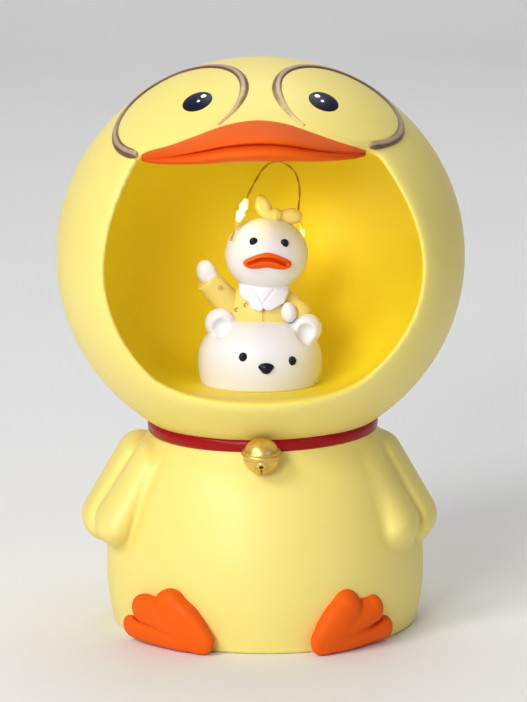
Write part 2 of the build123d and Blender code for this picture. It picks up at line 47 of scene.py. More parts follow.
# ---- driving dimensions, in millimetres --------------------------------------------------------
HEAD_Z = 136.0                     # height of the head's centre
HEAD_R, HEAD_H = 75.0, 72.8        # the head's radius from above, and its half height
OPEN_TILT = math.radians(14.0)     # the face opening looks up by this angle
OPEN_R, OPEN_D = 59.0, 45.7        # the opening's radius, and its plane's distance from the centre
BOWL_BACK = 36.0                   # depth of the bowl behind the head's centre
FLOOR_Z = HEAD_Z - 44.5            # flat floor of the bowl
BRIM_Z = HEAD_Z + 43.0             # the bill closes the opening above this height
FACE_WALL = 8.0                    # wall behind the bill and the eyes
POCKET = ((-32.5, 53.0, 122.5), (17.5, 95.0, 149.5))     # the battery box's place, by its corners
DUCT_X, DUCT_R = 13.0, 1.7         # way through the wall for the lamp's lead
JOINT_Z = 73.0                     # the head stands on the body here, under the collar
BODY_X = 1.7                       # the body sits a little to the side of the head's middle
BODY_WALL = 5.0
BODY_FLOOR = 8.0                   # height of the coin chamber's floor
RECESS_R, RECESS_H = 42.0, 3.0     # under the base, inside the ring that it stands on
STOPPER_R = 17.0
COIN_SLOT = ((-17.0, 30.0, 47.4), (17.0, 80.0, 52.6))
# height and radius of the body's outline, from the table up
BODY_PROFILE = [
    (0.0, 56.4), (3.0, 57.2), (8.0, 58.2), (16.0, 59.1), (25.0, 59.0), (33.0, 58.2), (41.0, 56.4),
    (49.0, 54.0), (56.0, 51.4), (62.0, 48.2), (67.0, 44.8), (70.5, 41.8), (76.0, 39.0),
]


# ---- distance fields -----------------------------------------------------------------------------
def smin(a, b, k):
    """Union of two fields with a fillet of about k."""
    h = np.clip(k - np.abs(a - b), 0, None) / k
    return np.minimum(a, b) - h * h * k * 0.25


def smax(a, b, k):
    """Intersection of two fields with a rounded edge of about k."""
    return -smin(-a, -b, k)


def ease(x, low, high):
    """A smooth step from 0 at low to 1 at high."""
    t = np.clip((x - low) / (high - low), 0, 1)
    return t * t * (3 - 2 * t)


def spin(p, at, turn):
    """Points relative to `at`, with a turn (degrees about X, Y, Z in that order) taken off."""
    x, y, z = p[0] - at[0], p[1] - at[1], p[2] - at[2]
    for axis in (2, 1, 0):
        a = math.radians(-turn[axis])
        c, s = math.cos(a), math.sin(a)
        if turn[axis] == 0:
            continue
        if axis == 0:
            y, z = y * c - z * s, y * s + z * c
        elif axis == 1:
            x, z = x * c + z * s, -x * s + z * c
        else:
            x, y = x * c - y * s, x * s + y * c
    return x, y, z


def egg(p, at, radii, turn=(0, 0, 0)):
    """Ellipsoid."""
    x, y, z = spin(p, at, turn)
    a, b, c = radii
    k0 = np.sqrt((x / a) ** 2 + (y / b) ** 2 + (z / c) ** 2)
    k1 = np.sqrt((x / a**2) ** 2 + (y / b**2) ** 2 + (z / c**2) ** 2)
    return k0 * (k0 - 1) / np.maximum(k1, 1e-6)


def limb(p, a, b, ra, rb, spread=1.0):
    """A round cone from a to b; spread makes it wider along Y than it is thick."""
    q = (p[0], p[1] / spread, p[2])
    a = np.array([a[0], a[1] / spread, a[2]])
    b = np.array([b[0], b[1] / spread, b[2]])
    ab = b - a
    t = sum((q[i] - a[i]) * ab[i] for i in range(3)) / ab.dot(ab)
    t = np.clip(t, 0, 1)
    away = np.sqrt(sum((q[i] - a[i] - t * ab[i]) ** 2 for i in range(3)))
    return away - (ra + t * (rb - ra))


def block(p, low, high, k=1.0):
    """A box given by its corners, with edges rounded by about k."""
    d = None
    for i in range(3):
        side = np.abs(p[i] - (low[i] + high[i]) / 2) - (high[i] - low[i]) / 2
        d = side if d is None else smax(d, side, k)
    return d


def tube_y(p, x, z, radius):
    """An endless round hole along Y."""
    return np.sqrt((p[0] - x) ** 2 + (p[2] - z) ** 2) - radius


def outline_2d(u, v, corners):
    """Signed distance from a closed polygon."""
    best = np.full(np.broadcast(u, v).shape, 1e9)
    inside = np.zeros(best.shape, bool)
    for (au, av), (bu, bv) in zip(corners, corners[1:] + corners[:1]):
        du, dv = bu - au, bv - av
        t = np.clip(((u - au) * du + (v - av) * dv) / (du * du + dv * dv), 0, 1)
        best = np.minimum(best, (u - au - t * du) ** 2 + (v - av - t * dv) ** 2)
        crosses = (av > v) != (bv > v)
        inside ^= crosses & (u < au + (v - av) * du / (dv if dv else 1e-9))
    return np.where(inside, -1, 1) * np.sqrt(best)


def smooth_curve(rows, column):
    """A smooth curve in |x| through one column of section rows, level at x = 0."""
    rows = [(-r[0], *r[1:]) for r in rows[:0:-1]] + rows
    xs = np.array([r[0] for r in rows], float)
    ys = np.array([r[column] for r in rows], float)
    lean = np.gradient(ys, xs)

    def curve(x):
        i = np.clip(np.searchsorted(xs, x) - 1, 0, len(xs) - 2)
        w = xs[i + 1] - xs[i]
        t = np.clip((x - xs[i]) / w, 0, 1)
        rise = (ys[i + 1] - ys[i]) * (3 * t**2 - 2 * t**3)
        bend = w * (lean[i] * (t**3 - 2 * t**2 + t) + lean[i + 1] * (t**3 - t**2))
        return ys[i] + rise + bend

    return curve


def head_ball(p, grow=0.0):
    return egg(p, (0, 0, HEAD_Z), (HEAD_R + grow, HEAD_R + grow, HEAD_H + grow))


def unit(v):
    v = np.array(v, dtype=float)
    return v / np.linalg.norm(v)


def head_direction(azimuth, elevation):
    """Unit vector from the head's centre to a point of its surface."""
    a, e = math.radians(azimuth), math.radians(elevation)
    return unit((HEAD_R * math.cos(e) * math.sin(a), -HEAD_R * math.cos(e) * math.cos(a),
                 HEAD_H * math.sin(e)))


def facing(p, azimuth, elevation):
    """Coordinates across, up and out along a direction from the head's centre."""
    out = head_direction(azimuth, elevation)
    across = unit(np.cross((0, 0, 1), out))
    up = np.cross(out, across)
    q = (p[0], p[1], p[2] - HEAD_Z)
    return tuple(sum(q[i] * axis[i] for i in range(3)) for axis in (across, up, out))


# ---- polygonising ----------------------------------------------------------------------------------
def slope(field, p, e=0.04):
    """Gradient of a field at points."""
    parts = []
    for i in range(3):
        step = [np.zeros(1)] * 3
        step[i] = np.full(1, e)
        ahead = field(tuple(p[j] + step[j] for j in range(3)))
        behind = field(tuple(p[j] - step[j] for j in range(3)))
        parts.append((ahead - behind) / (2 * e))
    return parts


def solid(name, field, low, high, step, crease):
    """A mesh object of field < 0 between two corners, with exact normals and a `crease` attribute.

    The attribute is 0 on open surface and rises to 1 far into a fold, within the given reach; the materials
    paint shade into the folds by it.
    """
    low, high = np.array(low, float), np.array(high, float)
    counts = np.ceil((high - low) / step).astype(int) + 1
    axes = [low[i] + step * np.arange(counts[i]) for i in range(3)]
    grid_points = np.meshgrid(*axes, indexing="ij")
    values = field(tuple(grid_points)).astype(np.float32)
    grid = vdb.FloatGrid(1e3)
    grid.copyFromArray(np.ascontiguousarray(np.clip(values, -50, 50)))
    points, quads = grid.convertToQuads(isovalue=0.0)
    points = points.astype(float) * step + low
    p = [points[:, 0], points[:, 1], points[:, 2]]
    for _ in range(4):
        g = slope(field, p)
        size = np.maximum(g[0] ** 2 + g[1] ** 2 + g[2] ** 2, 0.05)
        move = np.clip(field(tuple(p)) / size, -0.5 * step, 0.5 * step)
        p = [p[i] - move * g[i] for i in range(3)]
    g = slope(field, p)
    size = np.sqrt(g[0] ** 2 + g[1] ** 2 + g[2] ** 2) + 1e-9
    normals = np.stack([g[i] / size for i in range(3)], axis=1)
    points = np.stack(p, axis=1)
    first = points[quads[:, 1]] - points[quads[:, 0]]
    second = points[quads[:, 2]] - points[quads[:, 0]]
    inward = (np.cross(first, second) * normals[quads[:, 0]]).sum() < 0
    if inward:
        quads = quads[:, ::-1]
    # how far each point lies in a fold: the mask that the materials use for painted shade
    off = field(tuple(points[:, i] + normals[:, i] * crease for i in range(3)))
    fold = np.clip(1 - off / (crease * size), 0, 1)
    made = mesh_object(name, points * MM, quads)
    made.data.normals_split_custom_set_from_vertices(normals.tolist())
    add_mask(made, "crease", fold)
    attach(made, "duck")
    return made


def mesh_object(name, points, faces):
    """A smooth mesh object, in the scene, from points in metres."""
    mesh = bpy.data.meshes.new(name)
    mesh.from_pydata(np.asarray(points).tolist(), [], [tuple(face) for face in faces])
    mesh.shade_smooth()
    made = bpy.data.objects.new(name, mesh)
    bpy.context.scene.collection.objects.link(made)
    return made


def add_mask(piece, name, values):
    """Stores one number per vertex, for a material to read."""
    layer = piece.data.attributes.new(name, "FLOAT", "POINT")
    layer.data.foreach_set("value", values.astype(np.float32))


def finish(piece, material, slot, *nodes):
    """Gives a piece its material and hides the CAD nodes it stands for; the slot is not used."""
    piece.data.materials.append(material)
    if nodes:
        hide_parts(*nodes)


# ---- materials -------------------------------------------------------------------------------------
class Paint:
    """Builds one node material, a step at a time, on a Principled shader.

    Its patterns are in the object's own coordinates, in metres, so a scale of 100 is about 10 mm.
    """

    def __init__(self, name):
        self.material = bpy.data.materials.new(name)
        self.material.use_nodes = True
        self.tree = self.material.node_tree
        self.shader = self.tree.nodes["Principled BSDF"]
        place = self.tree.nodes.new("ShaderNodeTexCoord")
        self.place = place.outputs["Object"]

    def node(self, kind, inputs=None, **settings):
        made = self.tree.nodes.new(kind)
        for key, value in settings.items():
            setattr(made, key, value)
        for key, value in (inputs or {}).items():
            self.put(made.inputs[key], value)
        return made

    def put(self, socket, value):
        if isinstance(value, bpy.types.NodeSocket):
            self.tree.links.new(value, socket)
        else:
            socket.default_value = value

    def set(self, **inputs):
        for key, value in inputs.items():
            self.put(self.shader.inputs[key.replace("_", " ")], value)

    def noise(self, scale, detail=3.0, rough=0.5):
        made = self.node("ShaderNodeTexNoise", {
            "Vector": self.place, "Scale": scale, "Detail": detail, "Roughness": rough})
        return made.outputs["Fac"]

    def cells(self, scale):
        made = self.node("ShaderNodeTexVoronoi", {"Vector": self.place, "Scale": scale})
        return made.outputs["Distance"]

    def attribute(self, name):
        made = self.node("ShaderNodeAttribute", attribute_name=name)
        return made.outputs["Fac"]

    def span(self, value, low, high, to_low=0.0, to_high=1.0):
        made = self.node("ShaderNodeMapRange", {
            "Value": value, "From Min": low, "From Max": high, "To Min": to_low, "To Max": to_high})
        return made.outputs["Result"]

    def combine(self, how, a, b):
        made = self.node("ShaderNodeMath", {0: a, 1: b}, operation=how)
        return made.outputs[0]

    def mix(self, amount, a, b):
        made = self.node("ShaderNodeMix", data_type="RGBA")
        self.put(made.inputs["Factor"], amount)
        self.put(made.inputs[6], a if isinstance(a, bpy.types.NodeSocket) else (*a, 1.0))
        self.put(made.inputs[7], b if isinstance(b, bpy.types.NodeSocket) else (*b, 1.0))
        return made.outputs[2]

    def bump(self, layers):
        """Chains (height, depth in millimetres) pairs into the shader's normal."""
        normal = None
        for height, depth in layers:
            made = self.node("ShaderNodeBump", {"Height": height, "Distance": depth * MM, "Strength": 1.0})
            if normal is not None:
                self.put(made.inputs["Normal"], normal)
            normal = made.outputs["Normal"]
        self.put(self.shader.inputs["Normal"], normal)


def resin(name, colour, fold_shade_and_speck, rough, wave=0.05, shine=0.5, glow=0.0, inner=None):
    """Brushed paint over cast resin: painted shade in the folds, faint orange peel and pin holes.

    The second colour is the painted shade in the folds, and the pin holes take a darker version of it.
    `inner` is a darker gold painted where the mesh's bowl mask is set: painted light for the lamps' warm
    glow and the light bounced round the bowl.
    """
    paint = Paint(name)
    broad = paint.noise(22.0, 2.0)
    fine = paint.noise(420.0, 3.0, 0.6)
    shade = paint.mix(paint.span(broad, 0.3, 0.7, 0.0, 0.28), colour, [c * 0.93 for c in colour])
    # a darker gold inside the bowl is painted light: it stands for the lamps' warm glow and the light
    # bounced round the bowl
    if inner:
        shade = paint.mix(paint.attribute("bowl"), shade, inner)
    # painted shade in the folds: the crease mask, made a little uneven, mixes in the second colour
    fold = paint.combine("POWER", paint.attribute("crease"), 1.3)
    fold = paint.combine("MULTIPLY", fold, paint.span(paint.noise(90.0, 2.0), 0.25, 0.75, 0.75, 1.1))
    shade = paint.mix(fold, shade, fold_shade_and_speck)
    specks = paint.span(paint.cells(260.0), 0.035, 0.07, 0.25, 0.0)
    rare = paint.span(paint.noise(45.0, 1.0), 0.62, 0.68)
    shade = paint.mix(paint.combine("MULTIPLY", specks, rare), shade, [c * 0.45 for c in fold_shade_and_speck])
    gloss = paint.span(paint.noise(60.0, 3.0), 0.3, 0.7, rough - 0.05, rough + 0.06)
    paint.set(Base_Color=shade, Roughness=gloss, Specular_IOR_Level=shine)
    # glow makes the paint shine by itself: painted light
    if glow:
        paint.set(Emission_Color=(1.0, 1.0, 1.0, 1.0), Emission_Strength=glow)
    paint.bump([(paint.noise(70.0, 2.0), wave), (fine, 0.012)])
    return paint.material


def make_materials():
    """All finishes, by name."""
    made = {}
    # the second colour of each resin is its painted shade in the folds; the yellow's inner colour is painted
    # light for the warm glow inside the bowl
    made["yellow"] = resin("yellow_resin", (0.87, 0.735, 0.20), (0.74, 0.52, 0.05), 0.45,
                           inner=(0.87, 0.71, 0.016))
    made["orange"] = resin("orange_paint", (0.84, 0.112, 0.002), (0.58, 0.034, 0.002), 0.56, shine=0.15)
    made["white"] = resin("white_paint", (0.80, 0.81, 0.86), (0.58, 0.54, 0.52), 0.42)
    made["jacket"] = resin("jacket_paint", (0.84, 0.65, 0.17), (0.60, 0.38, 0.06), 0.42)
    made["button"] = resin("button_paint", (0.60, 0.36, 0.08), (0.30, 0.15, 0.03), 0.40)
    made["red"] = resin("red_paint", (0.32, 0.001, 0.002), (0.16, 0.000, 0.001), 0.30, shine=0.2)
    made["black"] = resin("black_paint", (0.007, 0.008, 0.022), (0.003, 0.003, 0.006), 0.30, wave=0.02,
                          shine=0.2)
    # the eye dots are real white paint; their faint glow is painted light that keeps them bright
    made["spot"] = resin("highlight_paint", (0.95, 0.95, 0.95), (0.8, 0.8, 0.8), 0.35, glow=0.3)
    made["brown"] = brown_paint()
    made["gold"] = gold_paint()
    made["plastic"] = moulded("box_plastic", (0.78, 0.77, 0.72), 0.5)
    made["switch"] = moulded("switch_plastic", (0.02, 0.02, 0.02), 0.4)
    made["rubber"] = moulded("stopper_rubber", (0.72, 0.71, 0.66), 0.62)
    made["silicone"] = moulded("clear_rubber", (0.80, 0.66, 0.32), 0.35)
    made["foam"] = moulded("foam", (0.62, 0.61, 0.56), 0.9, grain=900.0, depth=0.08)
    made["steel"] = metal("steel", (0.62, 0.61, 0.58), 0.3)
    made["brass"] = metal("contact_brass", (0.78, 0.62, 0.32), 0.34)
    made["copper"] = metal("copper_wire", (0.58, 0.42, 0.12), 0.38)
    made["glow"] = glowing_resin()
    return made


def brown_paint():
    """Thin brown paint on the eye rims: a painted highlight along the top of the ridge, and painted shade
    where it meets the face.
    """
    paint = Paint("brown_paint")
    lit_crest = paint.attribute("lit_crest")
    streak = paint.noise(160.0, 4.0, 0.65)
    lit_crest = paint.combine("ADD", lit_crest, paint.span(streak, 0.3, 0.7, -0.22, 0.22))
    # a painted highlight on the top of the ridge, and painted shade at its edges where it meets the face
    shade = paint.mix(paint.span(lit_crest, 0.25, 0.85), (0.12, 0.064, 0.030), (0.46, 0.30, 0.18))
    thin = paint.combine("MULTIPLY", paint.attribute("fade"), paint.span(streak, 0.35, 0.6, 0.5, 1.0))
    shade = paint.mix(thin, shade, (0.74, 0.55, 0.24))
    paint.set(Base_Color=shade, Roughness=0.33, Coat_Weight=0.25, Coat_Roughness=0.2)
    paint.bump([(streak, 0.05), (paint.noise(500.0), 0.01)])
    return paint.material


def gold_paint():
    """Gold paint on a moulded bell: bright grain, and painted shade in the folds."""
    paint = Paint("gold_paint")
    grain = paint.noise(700.0, 4.0, 0.7)
    # painted shade in the folds, the hole and the slit, from the crease mask
    fold = paint.combine("POWER", paint.attribute("crease"), 0.8)
    patch = paint.span(paint.noise(170.0, 3.0), 0.35, 0.65)
    bright = paint.mix(patch, (0.86, 0.60, 0.17), (0.66, 0.42, 0.09))
    shade = paint.mix(fold, bright, (0.16, 0.085, 0.02))
    paint.set(Base_Color=shade, Metallic=0.85, Roughness=paint.span(grain, 0.2, 0.8, 0.26, 0.46))
    paint.bump([(paint.noise(260.0, 2.0), 0.10), (grain, 0.03)])
    return paint.material


def moulded(name, colour, rough, grain=520.0, depth=0.02):
    """Moulded plastic or rubber with an even fine texture."""
    paint = Paint(name)
    texture = paint.noise(grain, 3.0, 0.6)
    shade = paint.mix(paint.span(paint.noise(35.0), 0.3, 0.7), colour, [c * 0.88 for c in colour])
    paint.set(Base_Color=shade, Roughness=paint.span(texture, 0.3, 0.7, rough - 0.06, rough + 0.06))
    paint.bump([(texture, depth)])
    return paint.material


def metal(name, colour, rough):
    """Bare metal with fine scratches."""
    paint = Paint(name)
    scratch = paint.noise(900.0, 2.0, 0.7)
    shade = paint.mix(paint.span(paint.noise(120.0), 0.3, 0.7), colour, [c * 0.8 for c in colour])
    gloss = paint.span(scratch, 0.2, 0.8, rough - 0.08, rough + 0.1)
    paint.set(Base_Color=shade, Metallic=1.0, Roughness=gloss)
    paint.bump([(scratch, 0.01)])
    return paint.material


def glowing_resin():
    """The clear drop over a lit lamp, its glow flecked a little."""
    paint = Paint("lamp_glow")
    speck = paint.span(paint.noise(900.0, 2.0), 0.4, 0.7, 0.7, 1.0)
    paint.set(Base_Color=(0.95, 0.88, 0.62, 1.0), Roughness=0.15, Emission_Color=(1.0, 0.84, 0.46, 1.0))
    paint.set(Emission_Strength=paint.combine("MULTIPLY", speck, 0.75))
    return paint.material


# ---- head ------------------------------------------------------------------------------------------
# per-side values are keyed -1 for the duck's right, which is the viewer's left, and 1 for the other
EYE_AZ, EYE_EL = 49.2, 56.9        # direction of an eye oval from the head's centre, in degrees
EYE_IN = 1.6                       # the oval lies this much nearer to the middle of the face
EYE_OVAL = (25.3, 23.5)            # half width and half height of the rim's centre line
EYE_LOW = {-1: 26.4, 1: 22.4}      # its half height below the middle: the ovals aren't quite alike
PATCH_H = 0.6                      # the oval's skin stands this proud of the head
RIM_HALF, RIM_H = 1.75, 1.2        # the rim's half width and height
RIM_START = {-1: -94.0, 1: -106.0}     # degrees round the oval where the outer end of a rim stops
RIM_SPAN = {-1: 286.0, 1: 299.0}       # degrees that the rim runs on from there
PUPIL_AZ, PUPIL_EL, PUPIL_R = 32.4, 56.4, 5.8
HIGHLIGHTS = [(30.4, 58.3, 1.2), (31.0, 56.0, 0.9)]     # azimuth, elevation and radius


def oval_of(p, side):
    """Signed distance from the eye rim's centre line, measured along the head, and its angle."""
    a, b, out = facing(p, side * EYE_AZ, EYE_EL)
    a = side * a + EYE_IN
    q = np.sqrt((a / EYE_OVAL[0]) ** 2 + (b / np.where(b > 0, EYE_OVAL[1], EYE_LOW[side])) ** 2)
    reach = np.sqrt(a * a + b * b) / np.maximum(q, 1e-6)
    away = (q - 1) * reach
    return np.where(out > 0, away, 30.0), np.arctan2(b, a)


def bowl_field(p):
    """Negative in the open bowl of the head: a ball, pinched towards its top and a little uneven."""
    centre = (OPEN_D**2 + OPEN_R**2 - BOWL_BACK**2) / (2 * (OPEN_D + BOWL_BACK))
    radius = centre + BOWL_BACK
    at = (0.0, -centre * math.cos(OPEN_TILT), HEAD_Z + centre * math.sin(OPEN_TILT))
    rise = (p[2] - HEAD_Z) / 50.0
    narrow = 1 + 0.07 * rise + 0.075 * rise**2
    aside = 0.7 - 1.7 * (rise - 0.08) ** 2
    q = ((p[0] - aside) * narrow, p[1], p[2])
    ball = egg(q, at, (radius - 3.15, radius, radius - 1.2))
    bowl = smax(ball, FLOOR_Z - p[2], 10.0)
    forehead = smax(BRIM_Z - p[2], -head_ball(p) - FACE_WALL, 2.0)
    return smax(bowl, -forehead, 3.5)


def head_field(p):
    head = head_ball(p)
    for side in (-1, 1):
        away, _ = oval_of(p, side)
        head = head - PATCH_H * (1 - ease(away, -1.6, 0.6))
    head = smax(head, -bowl_field(p), 6.2)
    head = smax(head, -block(p, *POCKET, 1.5), 1.2)
    duct = smax(tube_y(p, DUCT_X, HEAD_Z, DUCT_R), 30.0 - p[1], 0.5)
    head = smax(head, -duct, 0.8)
    return smax(head, JOINT_Z - p[2], 1.0)


def rim_run(angle, side):
    """Degrees along the rim from its outer end, up over the eye and down beside the bill."""
    return (np.degrees(angle) - RIM_START[side] + 30) % 360 - 30


def rim_field(side):
    """A low ridge along the eye oval: thick over the eye, and running out beside the bill."""
    def field(p):
        away, angle = oval_of(p, side)
        run, span = rim_run(angle, side), RIM_SPAN[side]
        width = RIM_HALF * (1 + 0.12 * np.sin(2 * angle + 0.8 * side) + 0.07 * np.sin(5 * angle))
        width = width * (1 - 0.72 * ease(run, span - 60, span)) * (0.55 + 0.45 * ease(run, 0, 9))
        height = RIM_H * (1 - 0.6 * ease(run, span - 50, span))
        rise = head_ball(p) - 0.1
        q = np.sqrt((away / width) ** 2 + (rise / height) ** 2)
        ridge = np.maximum((q - 1) * 1.1, -rise - 0.8)
        past = np.maximum(-run, run - span) * 0.42
        return smax(ridge, past, 0.9)
    return field


def pupil_field(side, azimuth, elevation, radius, low, dome):
    """A round dot on the head, with its edge at `low` over the skin and its middle domed."""
    def field(p):
        a, b, out = facing(p, side * azimuth, elevation)
        around = np.sqrt(a * a + b * b)
        top = head_ball(p) - low - dome * (1 - np.clip(around / radius, 0, 1.5) ** 2)
        d = smax(around - radius, top, 0.5)
        return np.maximum(d, np.where(out > 0, -head_ball(p), 9.0))
    return field


def around_axis(azimuth, elevation, reach):
    """Corners of a box about a point on the head."""
    out = head_direction(azimuth, elevation)
    at = np.array([out[0] * HEAD_R, out[1] * HEAD_R, HEAD_Z + out[2] * HEAD_H])
    return at - reach, at + reach


def vertices_mm(piece):
    """A piece's vertices as rows of x, y and z."""
    return tuple(np.array([v.co for v in piece.data.vertices]).T / MM)


def rim_marks(piece, side):
    """Adds the masks that the rim's paint reads: the top of the ridge, for its painted highlight and painted
    shade, and its faded inner end.
    """
    away, angle = oval_of(vertices_mm(piece), side)
    add_mask(piece, "lit_crest", 1 - ease(np.abs(away), 0.35, 1.25))
    add_mask(piece, "fade", ease(rim_run(angle, side), RIM_SPAN[side] - 70, RIM_SPAN[side]))


def build_head(mats):
    head = solid("duck_head", head_field, (-77.5, -77.5, 71), (77.5, 77.5, 211), 1.08, crease=3.0)
    at = vertices_mm(head)
    # the bowl mask marks where a darker gold is painted inside the bowl, as painted light for the lamps'
    # warm glow and bounced light
    inside = 1 - ease(np.abs(bowl_field(at)), 0.6, 3.4)
    add_mask(head, "bowl", inside * (0.5 + 0.5 * ease(-head_ball(at), 1.0, 10.0)))
    finish(head, mats["yellow"], "yellow_resin", "head_casting", "eye_patch_left", "eye_patch_right")
    dots = []
    for side, word in ((-1, "left"), (1, "right")):
        low, high = around_axis(side * EYE_AZ, EYE_EL, 33.0)
        high[2] = 212
        rim = solid(f"rim_{word}", rim_field(side), low, high, 0.5, crease=1.0)
        rim_marks(rim, side)
        finish(rim, mats["brown"], "brown_paint", f"eye_rim_{word}")
        low, high = around_axis(side * PUPIL_AZ, PUPIL_EL, 7.5)
        field = pupil_field(side, PUPIL_AZ, PUPIL_EL, PUPIL_R, PATCH_H, 0.7)
        pupil = solid(f"eye_{word}", field, low, high, 0.22, crease=0.6)
        finish(pupil, mats["black"], "black_paint", f"pupil_{word}")
        for azimuth, elevation, radius in HIGHLIGHTS:
            dots.append(pupil_field(side, azimuth, elevation, radius, 1.1, 0.35))

    def all_dots(p):
        return np.minimum.reduce([dot(p) for dot in dots])

    spots = solid("highlights", all_dots, (-27, -41, 190), (27, -27, 202), 0.18, crease=0.4)
    finish(spots, mats["spot"], "white_paint", "eye_highlights")


# ---- bill ------------------------------------------------------------------------------------------
# one row per section, from the middle outwards: x, front y, middle z, half depth, half height
LOWER_LIP = [(0, -73.5, 47.6, 13.5, 4.2), (10, -72.2, 47.1, 13.0, 4.0), (21, -67.6, 45.4, 11.5, 3.0),
             (31, -59.5, 43.9, 8.5, 2.1), (40, -48.5, 42.6, 4.5, 1.2)]
UPPER_LIP = [(0, -72.6, 53.1, 14.5, 2.6), (10, -71.2, 52.1, 13.5, 2.35), (21, -66.4, 49.2, 11.0, 1.7),
             (31, -58.6, 46.2, 8.0, 1.25), (40, -48.2, 43.7, 4.5, 0.9)]
LIP_REACH = 41.0       # the sections reach this far out
BILL_ROLL = 1.3        # degrees; the bill hangs a little lower on the duck's right
BILL_TIP = {-1: 41.5, 1: 38.5}
UPPER_PITCH = 6.0      # degrees; the upper lip rises towards the forehead


def lip_field(rows, pitch):
    """One lip of the bill, with oval sections that run out at both tips."""
    front, middle, depth, height = (smooth_curve(rows, i) for i in range(1, 5))

    def field(p):
        x, y, z = spin(p, (0, 0, HEAD_Z), (0, -BILL_ROLL, 0))
        reach = np.where(x < 0, BILL_TIP[-1], BILL_TIP[1])
        side = np.clip(np.abs(x) * LIP_REACH / reach, 0, LIP_REACH)
        cap = np.sqrt(np.clip(1 - (np.clip(side - 35.5, 0, None) / 5.5) ** 2, 0.01, 1))
        a, b = depth(side), height(side) * cap
        dy, dz = y - front(side) - a, z - middle(side)
        c, s = math.cos(math.radians(pitch)), math.sin(math.radians(pitch))
        dy, dz = dy * c + dz * s, -dy * s + dz * c
        q = np.sqrt((dy / (a * (0.4 + 0.6 * cap))) ** 2 + (dz / b) ** 2)
        return smax((q - 1) * b, (np.abs(x) - reach) * 0.8, 0.8)
    return field


def build_bill(mats):
    lower = lip_field(LOWER_LIP, 0.0)
    upper = lip_field(UPPER_LIP, UPPER_PITCH)
    for name, field, node in (("bill_lower", lower, "lower_bill"), ("bill_upper", upper, "upper_bill")):
        lip = solid(name, field, (-45, -75, 174), (45, -36, 196), 0.55, crease=1.6)
        finish(lip, mats["orange"], "orange_paint", node)
    mark_mouth(bpy.data.objects["bill_lower"], upper)
    mark_mouth(bpy.data.objects["bill_upper"], lower)


def mark_mouth(piece, other):
    """Moves the crease mask to the line where the two lips meet, so that painted shade runs along the mouth
    line.
    """
    near = 0.6 - 0.6 * ease(np.abs(other(vertices_mm(piece))), 0.0, 2.4)
    piece.data.attributes["crease"].data.foreach_set("value", near.astype(np.float32))


# ---- body ------------------------------------------------------------------------------------------
# each feather lobe from its top to its tip: place of the middle and radius
WING_FRONT = {-1: ((40.2, -11.0, 61.0, 8.2), (52.2, -14.4, 39.8, 9.4)),
              1: ((38.6, -10.5, 61.0, 9.0), (49.4, -16.0, 40.2, 10.2))}
WING_BACK = ((45.0, 2.0, 60.5, 8.8), (57.2, -0.5, 38.6, 9.4))
WING_SPREAD = 2.0      # a lobe is this many times as wide as it is thick


def body_radius(z):
    """The body's radius at a height, from its profile smoothed over a few millimetres."""
    heights = [row[0] for row in BODY_PROFILE]
    radii = [row[1] for row in BODY_PROFILE]
    shifts = (-3.0, -1.5, 0.0, 1.5, 3.0)
    return sum(np.interp(z + shift, heights, radii) for shift in shifts) / len(shifts)


def round_body(p, inset=0.0):
    """The body of revolution, moved in by inset."""
    z = np.clip(p[2], 0, JOINT_Z)
    lean = (body_radius(z + 0.5) - body_radius(z - 0.5))
    return (np.sqrt((p[0] - BODY_X) ** 2 + p[1] ** 2) - body_radius(z)) / np.sqrt(1 + lean**2) + inset


def wing_field(p):
    """Both wings: two feather lobes each, with a groove between them."""
    wings = []
    for side, inwards in ((-1, 0.0), (1, 0.9)):
        q = (side * p[0] + inwards, p[1], p[2])
        front, back = (limb(q, top[:3], tip[:3], top[3], tip[3], WING_SPREAD)
                       for top, tip in (WING_FRONT[side], WING_BACK))
        wings.append(smin(front, back, 0.8) + 0.9 * (1 - ease(np.abs(front - back), 0.0, 2.4)))
    return np.minimum(*wings)


def body_field(p):
    body = round_body(p)
    body = smin(body, wing_field(p), 2.0)
    body = smax(body, -p[2], 1.4)
    body = smax(body, p[2] - JOINT_Z, 0.8)
    around = np.sqrt(p[0] ** 2 + p[1] ** 2)
    recess = smax(around - RECESS_R, p[2] - RECESS_H, 1.0)
    body = smax(body, -recess, 1.0)
    hollow = smax(round_body(p, BODY_WALL), BODY_FLOOR - p[2], 6.0)
    hollow = smax(hollow, p[2] - (JOINT_Z - 4), 4.0)
    body = smax(body, -hollow, 0.5)
    body = smax(body, -smax(around - STOPPER_R, p[2] - 20.0, 0.5), 0.6)
    return smax(body, -block(p, *COIN_SLOT, 1.5), 1.0)


# a foot's toes fan out from its heel: place of the tip's middle and radius
HEEL = (22.2, -58.0, 4.8)
FIRST_TOE = {-1: (32.4, -50.2, 16.4, 6.3), 1: (31.2, -50.8, 16.0, 6.9)}
OTHER_TOES = [(42.0, -44.2, 13.6, 5.6), (47.4, -39.4, 5.6, 4.4)]


def foot_field(side):
    """A webbed foot; the one on the +X side is a little narrower."""
    def field(p):
        q = (-p[0] if side < 0 else (p[0] - 19.4) / 0.86 + 18.4, p[1], p[2])
        toes = [limb(q, HEEL, toe[:3], 5.4, toe[3]) for toe in (FIRST_TOE[side], *OTHER_TOES)]
        web = limb(q, HEEL, (37.6, -47.0, 14.4), 5.0, 4.2)
        palm = limb(q, (27.6, -53.8, 11.5), (23.0, -57.2, 5.4), 6.0, 5.5)
        first = smin(toes[0], palm, 3.0)
        second = smin(toes[1], web, 2.0)
        inner = smin(first, second, 1.4) + 0.16 * (1 - ease(np.abs(first - second), 0.0, 2.0))
        foot = smin(inner, toes[2], 0.8) + 0.6 * (1 - ease(np.abs(inner - toes[2]), 0.0, 2.2))
        foot = smax(foot, round_body(p) - 6.4, 3.0)
        return smax(foot, -p[2], 1.2)
    return field


